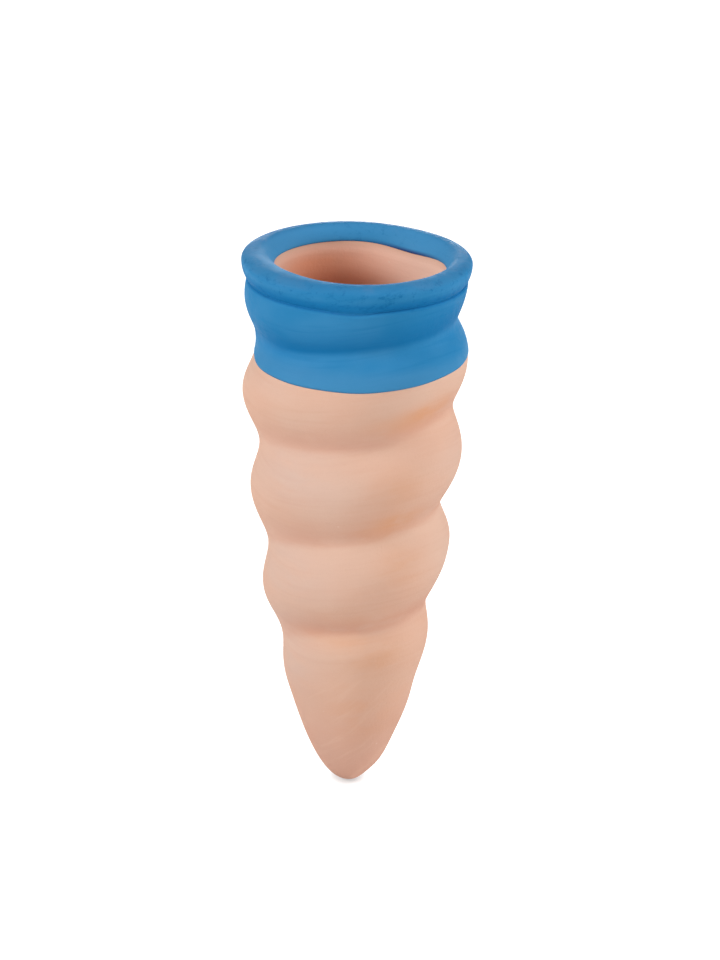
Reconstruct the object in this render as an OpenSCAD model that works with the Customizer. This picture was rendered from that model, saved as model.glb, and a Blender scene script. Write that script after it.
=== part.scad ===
// Watering spike for plant pots: a hollow, unglazed clay cone that stands tip down in the soil and
// lets water seep through its wall. One coil winds up round the body as a soft swelling, the thick
// lip and the neck carry a thin coat of paint. The clay and its coat are two separate solids.
// Millimetres. The tip's lowest point is at z = 0 and the mouth's axis is the Z axis.

/* [Overall] */
// Height from the tip to the top of the lip, coat included
body_h = 115; // [105:1:160]
// Diameter over the lip, coat included, which the body and the mouth follow
lip_d = 45; // [36:0.5:60]
// Width of the lip from its outer edge to the straight bore of the mouth
lip_w = 5.5; // [5.4:0.1:9]
// How far the lip stands out over the body's mean surface
lip_stand = 1.7; // [1:0.1:3]
// Mean thickness of the clay wall
wall = 4; // [2.5:0.1:6]
// Thickness of the clay under the hollow, at the tip
floor_t = 6; // [3:0.5:12]

/* [Body] */
// Height above the tip where the taper has reached the full diameter
taper_h = 90; // [60:1:95]
// Power that rounds the shoulder of the taper
taper_power = 1.48; // [1.2:0.01:2]
// Power that rounds the tip, where a half gives a round nose
nose_power = 0.475; // [0.4:0.005:0.6]
// How much wider the neck grows just under the lip
neck_flare = 0.3; // [0:0.1:0.6]
// How far the tip stands aside from the mouth's axis
tip_shift = 1.2; // [0:0.1:4]

/* [Winding] */
// Height that the swelling climbs in one turn
pitch = 21.5; // [15:0.5:32]
// How far the swelling's crest stands out, and its groove in, from the mean surface
swell = 1.22; // [0.2:0.02:2]
// The same just under the lip
neck_swell = 0.66; // [0:0.02:1]
// Height above the tip where the swelling begins to show
swell_start = 19; // [8:1:25]
// Height above the tip where the swelling is full
swell_full = 43; // [30:1:60]
// Depth below the top where the swelling begins to fade towards the neck
fade_depth = 16.6; // [14:0.2:30]
// Height over which it fades
fade_h = 6; // [2:0.5:8]
// Roundness of the groove's bottom beside its crest, as a share
groove_round_share = 0.62; // [0.2:0.02:1.4]
// Start angle of the winding, in degrees
winding_turn = 180; // [0:5:355]
// How far the turns are lifted at both ends of the body, which opens them towards the tip
turn_spread = 4.2; // [0:0.2:6]
// How far each turn is lifted at the right, and so lowered at the left
turn_rise_x = -0.7; // [-3:0.1:3]
// How far each turn is lifted at the back, and so lowered at the front
turn_rise_y = -2; // [-3:0.1:3]

/* [Lip] */
// Height of the lip from its crease to its top
lip_h = 4.7; // [4.2:0.1:9]
// Height of the lip's top above its widest line
lip_crown = 1.5; // [0.8:0.1:2.5]
// Width of the rounding along the lip's outer edge
lip_round = 2.8; // [1.6:0.1:2.9]
// How far the lip stands out over the crease below it
lip_overhang = 1; // [0.3:0.1:1.4]
// Width of the rounding along the lip's inner edge
mouth_round = 2.5; // [0.6:0.1:2.6]
// Length of the straight bore below the coat's inner border
bore_l = 3.6; // [2:0.1:8]

/* [Coat] */
// Thickness of the paint coat
coat_t = 0.2; // [0.1:0.05:0.4]
// Depth of the coat's lower line below the top, on the axis
coat_depth = 20; // [10:1:60]
// How far the coat's lower line is lifted at the right
coat_rise_x = 0.4; // [-1.5:0.1:1.5]
// How far the coat's lower line is lifted at the back
coat_rise_y = 0.8; // [-1.5:0.1:1.5]
// Depth to which the coat wraps into the mouth
coat_wrap = 3.1; // [1:0.1:4]

/* [Hidden] */

clay_color = [0.87, 0.71, 0.63];
coat_color = [0.22, 0.53, 0.73];

// Facets round the body, and flats of the bore in a preview
sides = 48;
bore_sides = 96;
// Rings of points: from the tip to the coat's lower line, on to the neck, and in the hollow
tip_rings = 44;
neck_rings = 7;
hollow_rings = 24;
// Steps round each curve of the lip's profile
under_steps = 5;
crown_steps = 4;
mouth_steps = 4;
// Power that crowds the rings towards the tip
crowding = 1.3;
// Share of the swelling that the hollow's surface follows
hollow_swell_share = 0.5;

// Clearance between the coat's inner border and the bore
coat_clear = 0.1;
// How far the hollow stands back from the bore above it
throat_relief = 0.3;
// Height over which the neck flares, and the hollow narrows to the throat
flare_h = 15;
throat_h = 8;
// Depth and height of the crease cut under the lip
crease_cut = 0.3;
crease_w = 0.3;
// Overrun of the bore's cut past the faces it passes through
cut_over = 1;

lip_r = lip_d / 2;
mouth_r = lip_r - lip_w;
// Mean radius of the body above its taper
body_r = lip_r - lip_stand;
crease_z = body_h - lip_h;
neck_z = crease_z - crease_w;
bore_top_z = body_h - coat_wrap;
bore_low_z = bore_top_z - bore_l;
// Centre of the lip's outer rounding, and of its inner one
crown_r = lip_r - lip_round;
crown_z = body_h - lip_crown;
edge_r = mouth_r + coat_clear + mouth_round;
// Angle, below level, at which the outer rounding meets the crease
under_angle = acos((lip_round - lip_overhang) / lip_round);
body_rings = tip_rings + neck_rings;
lip_rings = under_steps + crown_steps + mouth_steps + 3;

function between(t) = min(1, max(0, t));
function ease(t) = between(t) * between(t) * (3 - 2 * between(t));
function mix(a, b, t) = a + (b - a) * t;

// Mean radius of a tapered wall with its nose at nose_z
function taper(full_r, z, nose_z) =
    full_r * pow(1 - pow(1 - between((z - nose_z) / (taper_h - nose_z)), taper_power), nose_power);

// How far the centre line stands aside at a height
function lean(z) = tip_shift * (1 - z / body_h);

// The winding: its angle at a point of the body, its profile and its depth
function turn_rise(a) = pitch * a / 360 + turn_rise_x * cos(a) + turn_rise_y * sin(a);
function end_lift(z) = turn_spread * pow(2 * z / body_h - 1, 2);
function winding_angle(a, z) = 360 * (z + end_lift(z) - turn_rise(a)) / pitch + winding_turn;
function arch(w) = sqrt(pow(cos(w / 2), 2) + pow(groove_round_share, 2));
function swell_profile(w) = 2 * (arch(w) - arch(180)) / (arch(0) - arch(180)) - 1;
function fade(z) = ease((z - body_h + fade_depth) / fade_h);
function swell_depth(z) =
    mix(swell * ease((z - swell_start) / (swell_full - swell_start)), neck_swell, fade(z));
function swelling(a, z) = swell_depth(z) * swell_profile(winding_angle(a, z));

function flare(z) = neck_flare * ease((z - neck_z + flare_h) / flare_h);
function outer_r(a, z) = taper(body_r, z, 0) + flare(z) + swelling(a, z);
function inner_r(a, z) =
    mix(taper(body_r - wall, z, floor_t) + hollow_swell_share * swelling(a, z),
        mouth_r + throat_relief,
        ease((z - bore_low_z + throat_h) / throat_h));

// Height of the coat's lower line at an angle
function coat_low_z(a) = body_h - coat_depth + coat_rise_x * cos(a) + coat_rise_y * sin(a);

// Height of body ring k: the ring tip_rings lies along the coat's lower line
function ring_z(k, a) =
    k <= tip_rings ? coat_low_z(a) * pow(k / tip_rings, crowding)
                   : mix(coat_low_z(a), neck_z, (k - tip_rings) / neck_rings);

function at(r, a, z) = [r * cos(a) + lean(z), r * sin(a), z];
function body_point(k, a, skin) =
    let (z = ring_z(k, a)) at(outer_r(a, z) + skin, a, z);

// The lip's profile from the crease, round the outer edge, over the top and into the mouth.
// The skin is 0 for the clay's surface and coat_t for the coat's.
function crease_r(a) = min(outer_r(a, neck_z), lip_r - lip_overhang - coat_t) - crease_cut;
function lip_profile(j, a, skin) =
    j == 0 ? [crease_r(a) + skin, crease_z - crease_w / 2]
    : j <= under_steps + 1 ? under_profile(under_angle * (1 - (j - 1) / under_steps), skin)
    : j <= under_steps + crown_steps + 1 ? crown_profile(90 * (j - under_steps - 1) / crown_steps, skin)
    : mouth_profile(90 * (1 - (j - under_steps - crown_steps - 2) / mouth_steps), skin);
function under_profile(t, skin) =
    [crown_r + (lip_round - coat_t + skin) * cos(t),
     crown_z - (crown_z - crease_z - coat_t + skin) * sin(t) / sin(under_angle)];
function crown_profile(t, skin) =
    [crown_r + (lip_round - coat_t + skin) * cos(t),
     crown_z + (lip_crown - coat_t + skin) * sin(t)];
function mouth_profile(t, skin) =
    [edge_r - (mouth_round - coat_t + skin) * cos(t),
     bore_top_z + (coat_wrap - coat_t + skin) * sin(t)];
function lip_point(j, a, skin) =
    let (p = lip_profile(j, a, skin), off = j == 0 ? lean(p[1]) : 0)
    [p[0] * cos(a) + off, p[0] * sin(a), p[1]];

// One surface point: body rings first, then the rings of the lip
function skin_point(k, a, skin) =
    k <= body_rings ? body_point(k, a, skin) : lip_point(k - body_rings - 1, a, skin);

function angle_of(i) = 360 * i / sides;
function ring(k, skin) = [for (i = [0 : sides - 1]) skin_point(k, angle_of(i), skin)];
function hollow_z(k) = mix(floor_t, bore_low_z, pow(k / hollow_rings, crowding));
function hollow_ring(k) =
    [for (i = [0 : sides - 1]) at(inner_r(angle_of(i), hollow_z(k)), angle_of(i), hollow_z(k))];

// Triangles between two neighbouring rings whose points start at p and q
function band(p, q) =
    [for (i = [0 : sides - 1])
        let (n = (i + 1) % sides)
        each [[p + i, q + i, q + n], [p + i, q + n, p + n]]];

// Closed body of rings that narrow to one nose point below and end in a flat face above
module nosed_body(nose, rings) {
    last = 1 + (len(rings) - 1) * sides;
    polyhedron(
        points = concat([nose], [for (r = rings) each r]),
        faces = concat(
            [for (i = [0 : sides - 1]) [0, 1 + i, 1 + (i + 1) % sides]],
            [for (k = [0 : len(rings) - 2]) each band(1 + k * sides, 1 + (k + 1) * sides)],
            [[for (i = [sides - 1 : -1 : 0]) last + i]]));
}

// Closed ring whose cross-section is the loop of rings, the last joined to the first
module looped_body(rings) {
    polyhedron(
        points = [for (r = rings) each r],
        faces = [for (k = [0 : len(rings) - 1])
            each band(k * sides, ((k + 1) % len(rings)) * sides)]);
}

module clay_outside() {
    nosed_body(at(0, 0, 0), [for (k = [1 : body_rings + lip_rings]) ring(k, 0)]);
}

module hollow() {
    nosed_body(at(0, 0, floor_t), [for (k = [1 : hollow_rings]) hollow_ring(k)]);
}

module bore() {
    translate([0, 0, bore_low_z - cut_over])
        cylinder(h = bore_l + coat_wrap + 2 * cut_over, r = mouth_r, $fn = bore_sides);
}

// Fired clay shell: hollow cone with its winding, the lip and the straight bore of the mouth
module clay_spike() {
    color(clay_color)
        difference() {
            clay_outside();
            hollow();
            bore();
        }
}

// Paint coat over the neck and the lip, face to face with the clay
module blue_coat() {
    last = body_rings + lip_rings;
    color(coat_color)
        looped_body(concat(
            [for (k = [tip_rings : last]) ring(k, coat_t)],
            [for (k = [last : -1 : tip_rings]) ring(k, 0)]));
}

clay_spike();
blue_coat();
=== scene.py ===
import math

import bpy
import numpy as np
from mathutils import Matrix, Vector, noise


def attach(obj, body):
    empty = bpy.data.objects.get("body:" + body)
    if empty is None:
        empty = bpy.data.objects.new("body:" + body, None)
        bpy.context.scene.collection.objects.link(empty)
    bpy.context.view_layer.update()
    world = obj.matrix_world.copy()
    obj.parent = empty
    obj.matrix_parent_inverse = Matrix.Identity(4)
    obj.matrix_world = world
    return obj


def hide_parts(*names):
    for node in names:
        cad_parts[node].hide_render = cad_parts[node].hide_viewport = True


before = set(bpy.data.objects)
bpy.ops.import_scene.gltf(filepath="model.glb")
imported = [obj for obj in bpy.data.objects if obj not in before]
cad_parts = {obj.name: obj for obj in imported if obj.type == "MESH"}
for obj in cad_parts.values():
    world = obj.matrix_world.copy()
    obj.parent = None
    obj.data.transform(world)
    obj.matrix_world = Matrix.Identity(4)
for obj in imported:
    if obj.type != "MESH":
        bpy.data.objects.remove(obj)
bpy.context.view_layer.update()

# Lengths are in millimetres up to the meshes, and in metres for the camera, lamps and bumps.
# Angles are in degrees round the body: 0 lies towards +X and 270 towards the camera.
MM = 0.001

# Sizes of the solids, as the part's own source has them
BODY_H, LIP_D, LIP_W, LIP_STAND = 115.0, 45.0, 5.5, 1.7
WALL, FLOOR_T = 4.0, 6.0
TAPER_H, TAPER_POWER, NOSE_POWER = 90.0, 1.48, 0.475
NECK_FLARE, FLARE_H, TIP_SHIFT = 0.3, 15.0, 1.2
PITCH, SWELL, NECK_SWELL = 21.5, 1.22, 0.66
SWELL_START, SWELL_FULL, FADE_DEPTH, FADE_H = 19.0, 43.0, 16.6, 6.0
GROOVE_ROUND, WINDING_TURN, TURN_SPREAD = 0.62, 180.0, 4.2
TURN_RISE_X, TURN_RISE_Y = -0.7, -2.0
LIP_H, LIP_CROWN, LIP_ROUND, LIP_OVERHANG = 4.7, 1.5, 2.8, 1.0
MOUTH_ROUND, COAT_CLEAR, BORE_L = 2.5, 0.1, 3.6
COAT_T, COAT_DEPTH, COAT_RISE_X, COAT_RISE_Y, COAT_WRAP = 0.2, 20.0, 0.4, 0.8, 3.1
THROAT_H, HOLLOW_SWELL = 8.0, 0.5

LIP_R = LIP_D / 2
MOUTH_R = LIP_R - LIP_W
BODY_R = LIP_R - LIP_STAND
CREASE_Z = BODY_H - LIP_H
BORE_TOP_Z = BODY_H - COAT_WRAP
CROWN_R = LIP_R - LIP_ROUND
CROWN_Z = BODY_H - LIP_CROWN
EDGE_R = MOUTH_R + COAT_CLEAR + MOUTH_ROUND

# What the photo shows beyond the solids. The crease is shallower and wider than theirs, it sags
# at the front and is higher right of it. The neck bends into it at these shares of the way
CREASE_CUT, CREASE_W, BEND_IN, BEND_UP = 0.15, 0.5, 0.6, 0.3
CREASE_SAG, SAG_AT, SAG_WIDE = 0.45, 269, 13
CREASE_RISE, RISE_AT, RISE_WIDE = 0.3, 302, 30
# The mouth stands a little to the right, and is a little tighter than its bore
MOUTH_SHIFT, MOUTH_TIGHT = 0.5, 0.25
# Its edge and the lip's rim are pressed in at the back right, and the edge at the front too
DENT, DENT_DROP, DENT_AT, DENT_WIDE = 1.05, 0.8, 50.0, 26.0
RIM_PRESS, RIM_AT, RIM_WIDE = 0.6, 56, 24
FRONT_LEFT, LEFT_AT, LEFT_WIDE = 1.5, 219, 36
FRONT_RIGHT, RIGHT_AT, RIGHT_WIDE = 0.5, 308, 34
# Power that flattens the rounding into the mouth
INNER_SLOPE = 1.3
# The grooves are sharper and deeper at the front, and the crests lean there
FRONT_AT, FRONT_POWER, FRONT_LEAST, FRONT_MORE = 280, 1.2, 0.15, 0.85
FRONT_SHARPER, FRONT_LEAN, FRONT_DEEPER = 0.42, 12, 0.15
# The coat's lower border is higher at the front right, and wavy: height, count and start of each
BORDER_RISE, BORDER_AT, BORDER_WIDE = 0.25, 310, 35
BORDER_WAVES = [(0.07, 3, 40), (0.05, 5, 200), (0.03, 11, 75)]
# The casting is uneven: size and height of its broad and of its fine waves, and how far the fine
# ones are moved aside. Both fade towards the tip, and partly on the lip, which lies a little
# deeper than in the solids
BROAD_WAVES, FINE_WAVES, FINE_ASIDE = (17.0, 0.16), (6.0, 0.05), 40
TIP_CALM_Z, TIP_CALM_H = 1.0, 8
LIP_FOOT_Z, LIP_FOOT_H, LIP_CALM, LIP_SINK = 106, 4, 0.6, 0.03
# Inside, the mouth's moves and the body's lean fade into each other over these heights
MOVE_LOW_Z, MOVE_H, LEAN_TOP_Z, LEAN_H = 98, 14, 108, 12
# The coat is rounded at its borders, its underside lies just inside the clay, and the bare clay
# in the mouth starts just below it
BORDER_W, COAT_SINK, INSIDE_GAP = 0.45, 0.03, 0.3

# Sides of each ring, steps between the rings, and how much they crowd towards the tip and towards
# the hollow's floor. The mouth's moves and its dent are full before the last step of its edge
SIDES = 256
BODY_STEPS, NECK_STEPS, UNDER_STEPS, CROWN_STEPS = 190, 46, 12, 12
EDGE_STEPS, EDGE_MOVE_STEPS, EDGE_DROP_STEPS, INSIDE_STEPS = 16, 12, 14, 111
BODY_CROWDING, INSIDE_CROWDING = 1.3, 1.15


def between(t):
    return np.clip(t, 0.0, 1.0)


def ease(t):
    t = between(t)
    return t * t * (3 - 2 * t)


def mix(a, b, t):
    return a + (b - a) * t


def cosd(a):
    return np.cos(np.radians(a))


def sind(a):
    return np.sin(np.radians(a))


def hump(a, at, wide):
    """1 at an angle, fading to both sides."""
    away = (a - at + 180) % 360 - 180
    return np.exp(-((away / wide) ** 2))


def places(table, a, z):
    """The sum of a table's soft places at each point."""
    return sum(
        far * hump(a, at, wide) * np.exp(-(((z - height) / high) ** 2))
        for at, height, wide, high, far in table
    )


def taper(full_r, z, nose_z):
    t = between((z - nose_z) / (TAPER_H - nose_z))
    return full_r * np.power(1 - np.power(1 - t, TAPER_POWER), NOSE_POWER)


def lean(z):
    return TIP_SHIFT * (1 - z / BODY_H)


# Places where the turns run higher: angle, height, how wide and how high they are, and how far
DRIFTS = [
    (325, 100.0, 26, 8.0, 0.3),
    (325, 83.0, 26, 9.0, 1.7),
    (328, 62.0, 28, 8.0, 0.6),
    (212, 85.0, 25, 25.0, 0.6),
    (285, 81.0, 50, 7.0, -0.9),
    (250, 36.0, 50, 8.0, 1.4),
]


def winding_angle(a, z):
    """How far round its turn the swelling is: 0 on the crest and 180 in the groove."""
    rise = PITCH * a / 360 + TURN_RISE_X * cosd(a) + TURN_RISE_Y * sind(a) + places(DRIFTS, a, z)
    lift = TURN_SPREAD * (2 * z / BODY_H - 1) ** 2
    return 360 * (z + lift - rise) / PITCH + WINDING_TURN


def swell_profile(a, z):
    """From 1 on the crest to -1 in the groove, and a little more than both at the front."""
    front = FRONT_LEAST + FRONT_MORE * between(cosd(a - FRONT_AT)) ** FRONT_POWER
    low = GROOVE_ROUND - FRONT_SHARPER * front
    high = np.sqrt(1 + low**2)
    turn = winding_angle(a, z)
    turn = turn - FRONT_LEAN * front * (0.5 + 0.5 * cosd(turn))
    shape = 2 * (np.sqrt(cosd(turn / 2) ** 2 + low**2) - low) / (high - low) - 1
    return shape * (1 + FRONT_DEEPER * front)


def swell_depth(z):
    up = SWELL * ease((z - SWELL_START) / (SWELL_FULL - SWELL_START))
    return mix(up, NECK_SWELL, ease((z - BODY_H + FADE_DEPTH) / FADE_H))


# Hand-pressed places on the body: angle, height, how wide and how high they are, and how far
# they stand out
PRESSED = [
    (182, 100.2, 40, 3.4, -0.95),
    (182, 88.0, 45, 7.5, 0.35),
    (185, 57.0, 40, 5.0, 0.25),
    (182, 38.0, 40, 5.0, -0.25),
    (2, 107.5, 35, 3.0, 0.25),
    (0, 102.4, 35, 2.2, -0.60),
    (0, 90.0, 35, 5.0, 0.15),
    (0, 63.5, 35, 3.0, -0.40),
    (0, 57.0, 35, 3.0, 0.35),
    (5, 19.0, 45, 6.0, 0.35),
    (345, 2.0, 50, 2.5, -0.45),
    (265, 31.0, 45, 4.5, -0.6),
    (290, 101.5, 55, 2.4, -0.3),
    (178, 24.0, 40, 5.0, 0.25),
]


def outer_r(a, z):
    flare = NECK_FLARE * ease((z - CREASE_Z + CREASE_W + FLARE_H) / FLARE_H)
    swelling = swell_depth(z) * swell_profile(a, z)
    return taper(BODY_R, z, 0) + flare + swelling + places(PRESSED, a, z)


def inner_r(a, z):
    """The hollow follows a share of the swelling, up to the straight bore."""
    wall = taper(BODY_R - WALL, z, FLOOR_T)
    wall = wall + HOLLOW_SWELL * swell_depth(z) * swell_profile(a, z)
    return mix(wall, MOUTH_R, ease((z - BODY_H + COAT_WRAP + BORE_L + THROAT_H) / THROAT_H))


def coat_low_z(a):
    waves = (high * cosd(count * a + start) for high, count, start in BORDER_WAVES)
    wave = sum(waves, BORDER_RISE * hump(a, BORDER_AT, BORDER_WIDE))
    return BODY_H - COAT_DEPTH + COAT_RISE_X * cosd(a) + COAT_RISE_Y * sind(a) + wave


def crease_z(a):
    sag = CREASE_SAG * hump(a, SAG_AT, SAG_WIDE)
    return CREASE_Z - sag + CREASE_RISE * hump(a, RISE_AT, RISE_WIDE)


def mouth_move(a):
    """How far the mouth's edge stands out from its circle at an angle."""
    return MOUTH_SHIFT * cosd(a) - MOUTH_TIGHT - DENT * hump(a, DENT_AT, DENT_WIDE)


def front_move(a):
    """How far the front of the lip's flat top reaches into the mouth, as a negative number."""
    return -FRONT_LEFT * hump(a, LEFT_AT, LEFT_WIDE) - FRONT_RIGHT * hump(a, RIGHT_AT, RIGHT_WIDE)


ANGLES = np.arange(SIDES) * 360.0 / SIDES


def ring(r, z, centre=0.0):
    r, z = r + 0 * ANGLES, z + 0 * ANGLES
    return np.stack([r * cosd(ANGLES) + centre, r * sind(ANGLES), z], 1)


def unevenness(points, size, amount):
    """Smooth random offsets for points, the same on each run."""
    flat = points.reshape(-1, 3) / size
    found = [noise.noise(Vector(p)) for p in flat.tolist()]
    return amount * np.array(found).reshape(points.shape[:-1])


def outward(grid):
    """Normals of a grid of rings that close round their second index."""
    along = np.gradient(grid, axis=0)
    around = np.roll(grid, -1, 1) - np.roll(grid, 1, 1)
    n = np.cross(around, along)
    return n / np.maximum(np.linalg.norm(n, axis=2, keepdims=True), 1e-9)


def body_rings(count, z_at):
    """Rings 1 to count of the leaning body, each at the heights that z_at gives."""
    made = []
    for k in range(1, count + 1):
        z = z_at(k)
        made.append(ring(outer_r(ANGLES, z), z, lean(z)))
    return made


# Rings of the clay's outside: the bare body, then what the paint covers, which is the neck, the
# crease, and the lip from its underside over its crown to the mouth's edge
bare_rings = body_rings(BODY_STEPS, lambda k: coat_low_z(ANGLES) * (k / BODY_STEPS) ** BODY_CROWDING)

neck_top = crease_z(ANGLES) - CREASE_W
covered_rings = body_rings(NECK_STEPS, lambda k: mix(coat_low_z(ANGLES), neck_top, k / NECK_STEPS))

neck_r = outer_r(ANGLES, neck_top)
crease_r = np.minimum(neck_r, LIP_R - LIP_OVERHANG - COAT_T) - CREASE_CUT
covered_rings.append(ring(mix(neck_r, crease_r, BEND_IN), mix(neck_top, crease_z(ANGLES), BEND_UP)))
covered_rings.append(ring(crease_r, crease_z(ANGLES) - CREASE_W / 2))
under_angle = math.acos((LIP_ROUND - LIP_OVERHANG) / LIP_ROUND)
rim_in = -RIM_PRESS * hump(ANGLES, RIM_AT, RIM_WIDE)
for k in range(UNDER_STEPS + 1):
    t = under_angle * (1 - k / UNDER_STEPS)
    drop = (CROWN_Z - crease_z(ANGLES) - COAT_T) * math.sin(t) / math.sin(under_angle)
    r = CROWN_R + (LIP_ROUND - COAT_T) * math.cos(t) + rim_in * k / UNDER_STEPS
    covered_rings.append(ring(r, CROWN_Z - drop))
for k in range(1, CROWN_STEPS + 1):
    t = math.pi / 2 * k / CROWN_STEPS
    r = CROWN_R + (LIP_ROUND - COAT_T) * math.cos(t) + rim_in
    covered_rings.append(ring(r, CROWN_Z + (LIP_CROWN - COAT_T) * math.sin(t)))
for k in range(EDGE_STEPS + 1):
    t = math.pi / 2 * (1 - k / EDGE_STEPS)
    r = EDGE_R - (MOUTH_ROUND - COAT_T) * math.cos(t) ** INNER_SLOPE + front_move(ANGLES)
    r = r + mix(rim_in, mouth_move(ANGLES), ease(k / EDGE_MOVE_STEPS))
    drop = DENT_DROP * hump(ANGLES, DENT_AT, DENT_WIDE) * ease(k / EDGE_DROP_STEPS)
    z = BORE_TOP_Z + (COAT_WRAP - COAT_T) * math.sin(t) ** INNER_SLOPE - drop
    covered_rings.append(ring(r, z))

# Rings of the inside, from just below the coat's inner border down to the floor of the hollow
inside_rings = []
border_z = BORE_TOP_Z - DENT_DROP * hump(ANGLES, DENT_AT, DENT_WIDE)
for k in range(1, INSIDE_STEPS):
    z = mix(border_z - INSIDE_GAP, FLOOR_T, 1 - (1 - k / INSIDE_STEPS) ** INSIDE_CROWDING)
    move = (mouth_move(ANGLES) + front_move(ANGLES)) * ease((z - MOVE_LOW_Z) / MOVE_H)
    inside_rings.append(ring(inner_r(ANGLES, z) + move, z, lean(z) * ease((LEAN_TOP_Z - z) / LEAN_H)))


def smooth_shape(grid):
    """Adds the slow unevenness of a hand-finished casting along the normals."""
    z = grid[..., 2]
    soft = unevenness(grid, *BROAD_WAVES) + unevenness(grid + FINE_ASIDE, *FINE_WAVES)
    on_lip = ease((z - LIP_FOOT_Z) / LIP_FOOT_H)
    keep = ease((z - TIP_CALM_Z) / TIP_CALM_H) * (1 - LIP_CALM * on_lip)
    return grid + outward(grid) * (soft * keep - LIP_SINK * on_lip)[..., None]


outside = smooth_shape(np.array(bare_rings + covered_rings))
clay_grid = np.concatenate([outside, np.array(inside_rings)])
covered = outside[len(bare_rings) - 1 :]

# The coat over the covered rings, with the distance of each point from its two borders
steps = np.linalg.norm(np.diff(covered, axis=0), axis=2)
from_low = np.concatenate([np.zeros((1, SIDES)), np.cumsum(steps, 0)])
from_end = from_low[-1] - from_low
border = between(np.minimum(from_low, from_end) / BORDER_W)
thick = (COAT_T + COAT_SINK) * np.sqrt(1 - (1 - border) ** 2) - COAT_SINK
normals = outward(covered)
coat_outer = covered + normals * thick[..., None]
coat_under = covered - normals * COAT_SINK


def closed_mesh(name, rings, start=None, end=None, looped=False):
    """A closed mesh of rings. start and end are pole points."""
    count = len(rings)
    points = rings.reshape(-1, 3)
    i = np.arange(SIDES)
    n = (i + 1) % SIDES
    faces = []
    for k in range(count if looped else count - 1):
        p, q = k * SIDES, ((k + 1) % count) * SIDES
        faces += np.stack([p + i, p + n, q + n, q + i], 1).tolist()
    if start is not None:
        pole = len(points)
        points = np.vstack([points, start])
        faces += np.stack([pole + 0 * i, n, i], 1).tolist()
    if end is not None:
        pole, last = len(points), (count - 1) * SIDES
        points = np.vstack([points, end])
        faces += np.stack([last + i, last + n, pole + 0 * i], 1).tolist()
    mesh = bpy.data.meshes.new(name)
    mesh.from_pydata((points * MM).tolist(), [], faces)
    mesh.update()
    mesh.polygons.foreach_set("use_smooth", [True] * len(mesh.polygons))
    obj = bpy.data.objects.new(name, mesh)
    bpy.context.scene.collection.objects.link(obj)
    return obj, points


def give(obj, name, values):
    """Stores one number or one vector for each point under a name that materials can read."""
    values = np.asarray(values, float)
    if values.ndim == 1:
        layer = obj.data.attributes.new(name, "FLOAT", "POINT")
        layer.data.foreach_set("value", values)
    else:
        layer = obj.data.attributes.new(name, "FLOAT_VECTOR", "POINT")
        layer.data.foreach_set("vector", values.ravel())


clay, clay_points = closed_mesh(
    "fired_clay_shell", clay_grid, start=[lean(0), 0, 0], end=[lean(FLOOR_T), 0, FLOOR_T]
)
coat, coat_points = closed_mesh(
    "paint_skin", np.concatenate([coat_outer, coat_under[::-1][1:-1]]), looped=True
)

# Painted shade, in part, on the underside of a turn: where it starts and is strongest, and over
# how much it fades, as angles of the winding. It is full where the swelling is this share short
# of its full depth
UNDER_FROM, UNDER_FULL, UNDER_FADE, UNDER_SHORT = 160, 195, 125, 0.15
# It is weaker at the left, and on the upper body between two heights
LEFT_WEAKER, WEAKER_AT, WEAKER_WIDE = 0.55, 195, 32
UPPER_WEAKER, UPPER_LOW_Z, UPPER_LOW_H, UPPER_TOP_Z, UPPER_TOP_H = 0.3, 50, 15, 96, 4


def underside(a, z):
    """Partly painted shade: 1 under each turn, weaker at the left and on the upper body's turns."""
    turn = winding_angle(a, z) % 360
    rising = ease((turn - UNDER_FROM) / (UNDER_FULL - UNDER_FROM))
    fading = 1 - ease((turn - UNDER_FULL) / UNDER_FADE)
    under = np.where(turn < UNDER_FULL, rising, fading)
    under = under * between(swell_depth(z) / SWELL + UNDER_SHORT)
    under = under * (1 - LEFT_WEAKER * hump(a, WEAKER_AT, WEAKER_WIDE))
    upper = UPPER_WEAKER * ease((z - UPPER_LOW_Z) / UPPER_LOW_H)
    return under * (1 - upper * ease((UPPER_TOP_Z - z) / UPPER_TOP_H))


# How much the wiping lines tilt, and the least radius at which they do
WIPE_TILT, WIPE_LEAST_R = 0.17, 3


def marks(obj, points):
    """Point values for the materials, and coordinates that follow the wiping round the body."""
    x, y, z = points.T
    a = np.degrees(np.arctan2(y, x - lean(z))) % 360
    give(obj, "under", underside(a, z))
    r = np.maximum(np.hypot(x, y), WIPE_LEAST_R)
    give(obj, "wiped", np.stack([x, y, z + WIPE_TILT * x * y / r], 1))
    give(obj, "height", z)
    return a, z


# Orange and pale places on the clay: angle, height, how wide and how high they are, how strong
WARM = [
    (314, 88.6, 16, 2.2, 1.0),
    (295, 86.5, 20, 2.5, 0.5),
    (300, 66.0, 16, 2.2, 1.0),
    (285, 63.5, 20, 2.4, 0.45),
    (296, 73.5, 16, 4.0, 0.45),
    (300, 56.0, 14, 4.0, 0.5),
    (289, 35.0, 24, 3.8, 0.65),
    (262, 38.5, 30, 2.0, 0.4),
    (280, 44.5, 30, 3.0, 0.35),
    (285, 20.0, 38, 9.0, 0.65),
    (120, 70.0, 22, 3.0, 0.8),
    (50, 44.0, 26, 3.0, 0.7),
]
# Pale places: partly the clay's own paler tone, partly painted light over the turns' shade
PALE = [
    (235, 75.0, 34, 7.0, 1.0),
    (225, 53.0, 34, 7.0, 1.0),
    (215, 30.0, 30, 7.0, 0.9),
    (340, 76.0, 22, 6.0, 0.6),
    (350, 54.0, 20, 6.0, 0.4),
    (225, 93.0, 25, 3.0, 0.4),
    (208, 40.5, 28, 4.5, 0.7),
    (90, 60.0, 34, 7.0, 0.8),
]

# Two painted shadows at the back of the hollow: below which height, over how much of it they come
# in, at which angle and how wide
SHADES_INSIDE = {"shaded": (BORE_TOP_Z + 1.5, 5.5, 120, 46), "deep": (109, 6, 105, 40)}
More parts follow.
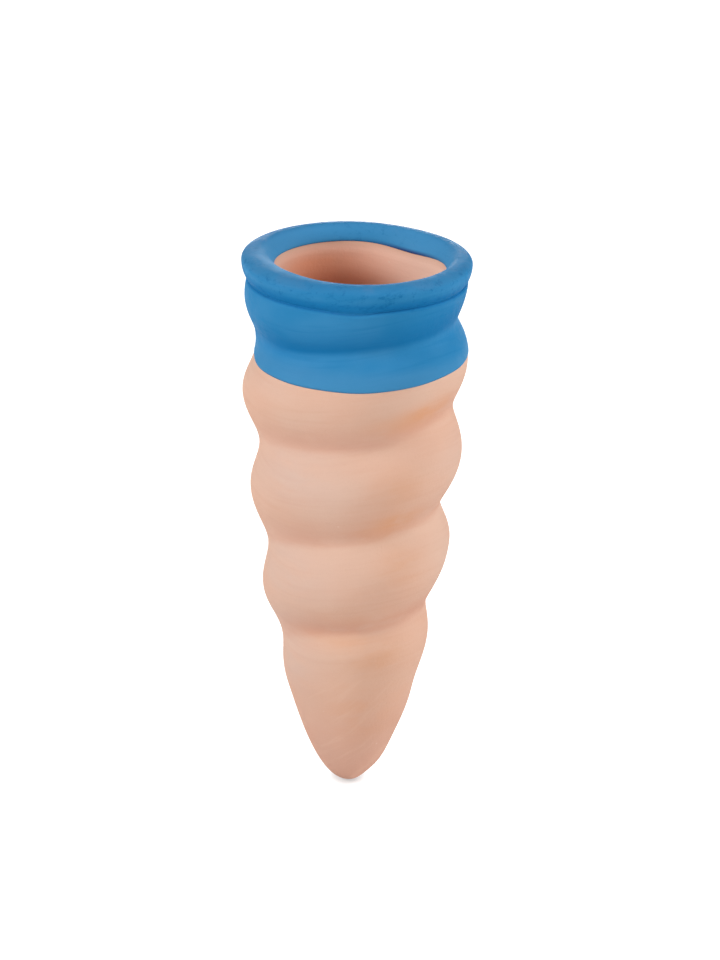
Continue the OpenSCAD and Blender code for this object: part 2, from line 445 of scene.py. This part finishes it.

# The painted shadow on the coat's inner border: its width, over how much of it the colour fades,
# above which height and over how much of it it comes in, its angle and how wide it is there
DARK_W, DARK_FADE, DARK_Z, DARK_H, DARK_AT, DARK_WIDE = 0.9, 0.6, 108, 2, 50, 26

# Painted light on the coat's part that faces into the mouth: within which radius and over how
# much of it it comes in, how strong it is, and how much weaker at the back
INWARD_R, INWARD_FADE, INWARD_MOST = 19.8, 1.6, 0.9
INWARD_WEAKER, INWARD_AT, INWARD_WIDE = 0.65, 85, 34

a, z = marks(clay, clay_points)
give(clay, "warm", between(places(WARM, a, z)))
give(clay, "pale", between(places(PALE, a, z)))
indoors = np.arange(len(clay_points)) >= len(outside) * SIDES
give(clay, "indoors", indoors * 1.0)
for name, (top, high, at, wide) in SHADES_INSIDE.items():
    give(clay, name, indoors * ease((top - z) / high) * hump(a, at, wide))

a, z = marks(coat, coat_points)
dark = [between((DARK_W - from_end) / DARK_FADE), np.ones((len(covered) - 2, SIDES))]
dark = np.concatenate(dark).ravel() * ease((z - DARK_Z) / DARK_H)
give(coat, "inner_end", dark * hump(a, DARK_AT, DARK_WIDE))
inward = ease((INWARD_R - np.hypot(coat_points[:, 0], coat_points[:, 1])) / INWARD_FADE)
give(coat, "inward", inward * (INWARD_MOST - INWARD_WEAKER * hump(a, INWARD_AT, INWARD_WIDE)))


def colour(r, g, b):
    """A display colour of 0 to 255 as the shader's linear one."""
    c = np.array([r, g, b]) / 255
    c = np.where(c <= 0.04045, c / 12.92, ((c + 0.055) / 1.055) ** 2.4)
    return (*c.tolist(), 1.0)


# The colour sockets of a mix node by number, because their names repeat
MIX_FIRST, MIX_SECOND, MIX_RESULT = 6, 7, 2


class Graph:
    """A material's node tree, built by calls that return sockets."""

    def __init__(self, name):
        self.material = bpy.data.materials.new(name)
        self.material.use_nodes = True
        self.tree = self.material.node_tree
        self.tree.nodes.clear()

    def put(self, socket, value):
        if isinstance(value, bpy.types.NodeSocket):
            self.tree.links.new(value, socket)
        else:
            socket.default_value = value

    def node(self, kind, inputs=(), **settings):
        made = self.tree.nodes.new(kind)
        for name, value in settings.items():
            setattr(made, name, value)
        for name, value in dict(inputs).items():
            self.put(made.inputs[name], value)
        return made

    def attribute(self, name, output="Fac"):
        return self.node("ShaderNodeAttribute", attribute_name=name).outputs[output]

    def noise(self, at, scale, detail=3.0, rough=0.5, distort=0.0):
        inputs = {"Vector": at, "Scale": scale, "Detail": detail}
        inputs.update({"Roughness": rough, "Distortion": distort})
        return self.node("ShaderNodeTexNoise", inputs).outputs["Fac"]

    def stretch(self, at, scale, turn=(0, 0, 0), move=(0, 0, 0)):
        inputs = {"Vector": at, "Scale": scale, "Rotation": turn, "Location": move}
        return self.node("ShaderNodeMapping", inputs).outputs["Vector"]

    def math(self, operation, a, b=0.0, clamp=False):
        made = self.node("ShaderNodeMath", operation=operation, use_clamp=clamp)
        self.put(made.inputs[0], a)
        self.put(made.inputs[1], b)
        return made.outputs[0]

    def times(self, a, b):
        return self.math("MULTIPLY", a, b)

    def span(self, value, low, high, to_low=0.0, to_high=1.0):
        """value from low to high, eased to to_low to to_high."""
        inputs = {"Value": value, "From Min": low, "From Max": high}
        inputs.update({"To Min": to_low, "To Max": to_high})
        made = self.node("ShaderNodeMapRange", inputs, interpolation_type="SMOOTHSTEP")
        return made.outputs["Result"]

    def over(self, tone, share, shade):
        """tone with a share of another shade laid over it."""
        made = self.node("ShaderNodeMix", data_type="RGBA", blend_type="MIX")
        self.put(made.inputs["Factor"], share)
        self.put(made.inputs[MIX_FIRST], tone)
        self.put(made.inputs[MIX_SECOND], colour(*shade))
        return made.outputs[MIX_RESULT]

    def bump(self, height, distance, strength=1.0, normal=None):
        inputs = {"Height": height, "Distance": distance, "Strength": strength}
        if normal is not None:
            inputs["Normal"] = normal
        return self.node("ShaderNodeBump", inputs).outputs["Normal"]

    def finish(self, tone, rough, normal, level):
        inputs = {"Base Color": tone, "Roughness": rough, "Normal": normal}
        shader = self.node("ShaderNodeBsdfPrincipled", {**inputs, "Specular IOR Level": level})
        self.close(shader)
        return self.material

    def close(self, shader):
        out = self.tree.nodes.new("ShaderNodeOutputMaterial")
        self.tree.links.new(shader.outputs[0], out.inputs[0])


# Shades of the clay and of the paint, and the heights between which some of them come in
CLAY = {
    "even": (219, 181, 160),
    "drift": (219, 175, 152),
    "pale": (213, 181, 165),
    "light streak": (226, 194, 175),
    "dark streak": (205, 153, 132),
    "underside": (213, 161, 139),
    "rusty": (220, 160, 122),
    "tip": (208, 156, 137),
    "indoors": (234, 196, 177),
    "shaded": (231, 150, 113),
    "deep": (184, 108, 80),
    "stroke": (224, 186, 163),
    "speck": (234, 208, 190),
    "dark grain": (196, 146, 122),
    "light grain": (236, 206, 188),
}
PAINT = {
    "even": (42, 125, 176),
    "drift": (56, 132, 181),
    "brush line": (14, 110, 165),
    "groove": (0, 105, 162),
    "low band": (70, 136, 181),
    "lip side": (6, 109, 168),
    "mottle": (12, 98, 152),
    "lip top": (70, 134, 183),
    "dust": (86, 132, 176),
    "inward": (72, 145, 195),
    "inner border": (48, 72, 124),
}
STROKES_Z, TIP_Z = (36.0, 26.0), (32.0, 6.0)
LOW_BAND_Z, LIP_Z = (99.0, 96.5), (109.4, 110.6)
LIP_SIDE_Z, LIP_TOP_Z = (112.8, 111.2), (113.4, 114.8)


def clay_material():
    g = Graph("unglazed_clay")
    wiped = g.attribute("wiped", "Vector")
    height = g.attribute("height")
    ragged = g.noise(g.stretch(wiped, (0.12, 0.12, 0.3), move=(2, 9, 4)), 1.0, 4.0, 0.55)
    # Broad drifts of tone, pale places that are partly painted light, then soft streaks from wiping
    # round the wet clay
    drift = g.noise(g.stretch(wiped, (0.045, 0.045, 0.07)), 1.0, 2.0, 0.5)
    tone = g.over(colour(*CLAY["even"]), g.span(drift, 0.35, 0.65), CLAY["drift"])
    pale = g.times(g.attribute("pale"), g.span(ragged, 0.25, 0.6, 0.55, 1.0))
    tone = g.over(tone, pale, CLAY["pale"])
    wipe = g.noise(g.stretch(wiped, (0.05, 0.05, 0.9)), 1.0, 5.0, 0.6)
    low = g.span(height, *STROKES_Z)
    upper = g.math("SUBTRACT", 1.0, g.times(low, 0.7))
    tone = g.over(tone, g.times(upper, g.span(wipe, 0.42, 0.7, 0, 0.12)), CLAY["light streak"])
    tone = g.over(tone, g.times(upper, g.span(wipe, 0.3, 0.48, 0.12, 0)), CLAY["dark streak"])
    # The underside of each turn is darker and warmer, partly painted shade and partly the clay's own
    # tone. The listed places are more orange, and the clay is warmer and darker towards the tip
    under = g.times(g.attribute("under"), g.span(ragged, 0.3, 0.6, 0.45, 0.9))
    tone = g.over(tone, under, CLAY["underside"])
    rusty = g.times(g.attribute("warm"), g.span(ragged, 0.35, 0.62, 0.5, 1.0))
    tone = g.over(tone, g.times(rusty, 0.8), CLAY["rusty"])
    tone = g.over(tone, g.span(height, *TIP_Z, 0, 0.5), CLAY["tip"])
    # Inside: pale where the light falls in, deeper orange in its own shade
    tone = g.over(tone, g.attribute("indoors"), CLAY["indoors"])
    tone = g.over(tone, g.times(g.attribute("shaded"), 0.85), CLAY["shaded"])
    tone = g.over(tone, g.times(g.attribute("deep"), 0.9), CLAY["deep"])
    # Slanting brush strokes near the tip, sparse pale specks and a fine grain
    turned = g.stretch(wiped, (1, 1, 1), turn=(0, math.radians(42), 0))
    slant = g.noise(g.stretch(turned, (0.08, 0.08, 0.5)), 1.0, 4.0, 0.6)
    tone = g.over(tone, g.times(low, g.span(slant, 0.5, 0.68, 0, 0.3)), CLAY["stroke"])
    cells = g.node("ShaderNodeTexVoronoi", {"Vector": wiped, "Scale": 0.16}, feature="F1")
    tone = g.over(tone, g.span(cells.outputs["Distance"], 0.05, 0.02, 0, 0.4), CLAY["speck"])
    grain = g.noise(wiped, 3.2, 3.0, 0.7)
    tone = g.over(tone, g.span(grain, 0.55, 0.8, 0, 0.2), CLAY["dark grain"])
    tone = g.over(tone, g.span(grain, 0.2, 0.42, 0.16, 0), CLAY["light grain"])
    rough = g.span(g.noise(wiped, 0.35, 4.0, 0.6), 0.3, 0.7, 0.82, 0.96)
    normal = g.bump(g.noise(wiped, 1.6, 5.0, 0.65), 0.00006)
    normal = g.bump(wipe, 0.00012, 0.6, normal)
    return g.finish(tone, rough, normal, 0.12)


def paint_material():
    g = Graph("blue_satin_paint")
    wiped = g.attribute("wiped", "Vector")
    height = g.attribute("height")
    # Drifts and brush lines round the neck, a groove darkened partly by painted shade, and a paler
    # low band of painted sheen
    drift = g.noise(g.stretch(wiped, (0.06, 0.06, 0.1)), 1.0, 2.0, 0.5)
    tone = g.over(colour(*PAINT["even"]), g.span(drift, 0.35, 0.65), PAINT["drift"])
    brushed = g.noise(g.stretch(wiped, (0.05, 0.05, 1.1), move=(3, 1, 6)), 1.0, 5.0, 0.6)
    tone = g.over(tone, g.span(brushed, 0.3, 0.5, 0.25, 0), PAINT["brush line"])
    tone = g.over(tone, g.times(g.attribute("under"), 0.85), PAINT["groove"])
    tone = g.over(tone, g.span(height, *LOW_BAND_Z, 0, 0.6), PAINT["low band"])
    # The lip: painted shade down its side, dull mottling, a painted sheen on its top, and scuffs and
    # dust there
    lip = g.span(height, *LIP_Z)
    side = g.times(lip, g.span(height, *LIP_SIDE_Z))
    tone = g.over(tone, g.times(side, 0.7), PAINT["lip side"])
    mottle = g.noise(g.stretch(wiped, (0.5, 0.5, 0.7)), 1.0, 6.0, 0.75)
    tone = g.over(tone, g.times(lip, g.span(mottle, 0.51, 0.66, 0, 0.6)), PAINT["mottle"])
    scuff = g.noise(g.stretch(wiped, (0.12, 0.12, 0.2), move=(1, 4, 0)), 1.0, 5.0, 0.65, 0.6)
    top = g.span(height, *LIP_TOP_Z)
    tone = g.over(tone, g.times(top, 0.3), PAINT["lip top"])
    dust = g.times(top, g.span(scuff, 0.48, 0.66, 0, 0.3))
    tone = g.over(tone, dust, PAINT["dust"])
    # Painted light makes the part that faces into the mouth paler, and a painted shadow darkens its
    # border at the back right
    tone = g.over(tone, g.attribute("inward"), PAINT["inward"])
    tone = g.over(tone, g.attribute("inner_end"), PAINT["inner border"])
    rough = g.span(g.noise(wiped, 0.5, 4.0, 0.6), 0.3, 0.7, 0.5, 0.64)
    rough = g.math("ADD", rough, g.times(dust, 0.3), True)
    normal = g.bump(g.noise(wiped, 0.9, 4.0, 0.6), 0.00005)
    normal = g.bump(brushed, 0.00012, 0.6, normal)
    return g.finish(tone, rough, normal, 0.04)


for piece, material, node, slot in (
    (clay, clay_material(), "clay_spike", "fired_clay"),
    (coat, paint_material(), "blue_coat", "blue_paint"),
):
    piece.data.materials.append(material)
    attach(piece, "root")
    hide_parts(node)


def seen_directly(tree):
    """A value that is 1 where the camera, gloss or glass sees the surface."""
    path = tree.nodes.new("ShaderNodeLightPath")
    seen = path.outputs["Is Camera Ray"]
    for name in ("Is Glossy Ray", "Is Transmission Ray"):
        either = tree.nodes.new("ShaderNodeMath")
        either.operation = "MAXIMUM"
        tree.links.new(seen, either.inputs[0])
        tree.links.new(path.outputs[name], either.inputs[1])
        seen = either.outputs[0]
    return seen


def chosen_by(tree, share, first, second):
    """A shader node that shows the first shader, and the second where share is 1."""
    chosen = tree.nodes.new("ShaderNodeMixShader")
    for socket, source in zip(chosen.inputs, (share, first.outputs[0], second.outputs[0])):
        tree.links.new(source, socket)
    return chosen


def build_floor():
    half = 3.0
    corners = [(-half, -half, 0), (half, -half, 0), (half, half, 0), (-half, half, 0)]
    mesh = bpy.data.meshes.new("floor")
    mesh.from_pydata(corners, [], [(0, 1, 2, 3)])
    floor = bpy.data.objects.new("floor", mesh)
    bpy.context.scene.collection.objects.link(floor)
    g = Graph("pale_floor")
    seen = seen_directly(g.tree)
    matt = g.node("ShaderNodeBsdfDiffuse", {"Color": (0.8, 0.8, 0.8, 1)})
    # Seen directly it is white, less tinted by the clay, and shaded where the tip touches
    plain = g.node("ShaderNodeBsdfDiffuse", {"Color": (0.4, 0.4, 0.4, 1)})
    near = g.node("ShaderNodeAmbientOcclusion", {"Distance": 0.0022}, samples=16)
    strength = g.span(near.outputs["AO"], 0.0, 1.0, 0.38, 1.0)
    glow = g.node("ShaderNodeEmission", {"Color": (1, 1, 1, 1), "Strength": strength})
    both = g.node("ShaderNodeAddShader", {0: plain.outputs[0], 1: glow.outputs[0]})
    g.close(chosen_by(g.tree, seen, matt, both))
    mesh.materials.append(g.material)


def build_world():
    """White where it is seen directly, and a faint even light on the object."""
    world = bpy.data.worlds.new("studio")
    bpy.context.scene.world = world
    world.use_nodes = True
    tree = world.node_tree
    tree.nodes.clear()
    lights = []
    for strength in (0.12, 1.0):
        light = tree.nodes.new("ShaderNodeBackground")
        light.inputs["Color"].default_value = (1, 1, 1, 1)
        light.inputs["Strength"].default_value = strength
        lights.append(light)
    chosen = chosen_by(tree, seen_directly(tree), *lights)
    out = tree.nodes.new("ShaderNodeOutputWorld")
    tree.links.new(chosen.outputs[0], out.inputs["Surface"])


# Lamps: name, angle round the body, angle above it, size and power
LAMPS = [
    ("key", 203, 28, 0.6, 11.0),
    ("front", 305, 28, 0.5, 4.7),
    ("low fill", 330, 5, 0.45, 2.8),
    ("back fill", 10, 40, 0.5, 5.7),
    ("behind", 90, 6, 0.5, 5.0),
]
LAMP_FAR, LAMP_AIM_Z = 1.2, 0.07


def lamp(name, turn, up, size, power):
    """A round soft light that aims at the body."""
    light = bpy.data.lights.new(name, "AREA")
    light.shape = "DISK"
    light.size = size
    light.energy = power
    obj = bpy.data.objects.new(name, light)
    away = Vector((cosd(turn) * cosd(up), sind(turn) * cosd(up), sind(up)))
    obj.location = Vector((0, 0, LAMP_AIM_Z)) + away * LAMP_FAR
    obj.rotation_euler = (-away).to_track_quat("-Z", "Y").to_euler()
    bpy.context.scene.collection.objects.link(obj)


# The photo's camera: its distance from the body's middle, its angle above it and its roll, that
# middle's height and where the camera aims right of and above it, its focal length and the
# photo's width in pixels, and the sensor's width in millimetres
CAMERA_FAR, CAMERA_UP, CAMERA_ROLL = 0.5585, 23.71, 1.638
MIDDLE_Z, AIM_RIGHT, AIM_ABOVE = 0.0575, 0.0017857, 0.00984
FOCAL_PIXELS, PHOTO_PIXELS, SENSOR = 2771.74, 720, 36


def build_camera():
    up, roll = math.radians(CAMERA_UP), math.radians(CAMERA_ROLL)
    place = Vector((0, -CAMERA_FAR * math.cos(up), MIDDLE_Z + CAMERA_FAR * math.sin(up)))
    aim = Vector((AIM_RIGHT, 0, MIDDLE_Z + AIM_ABOVE))
    forward = (aim - place).normalized()
    right = forward.cross(Vector((0, 0, 1))).normalized()
    above = right.cross(forward)
    turned = right * math.cos(roll) + above * math.sin(roll)
    above = above * math.cos(roll) - right * math.sin(roll)
    data = bpy.data.cameras.new("camera")
    data.sensor_fit = "HORIZONTAL"
    data.sensor_width = SENSOR
    data.lens = FOCAL_PIXELS * SENSOR / PHOTO_PIXELS
    data.clip_start, data.clip_end = 0.01, 20
    cam = bpy.data.objects.new("camera", data)
    facing = Matrix((turned, above, -forward)).transposed().to_4x4()
    cam.matrix_world = Matrix.Translation(place) @ facing
    bpy.context.scene.collection.objects.link(cam)
    bpy.context.scene.camera = cam


build_floor()
build_world()
for row in LAMPS:
    lamp(*row)
build_camera()
bpy.context.scene.view_settings.view_transform = "Standard"
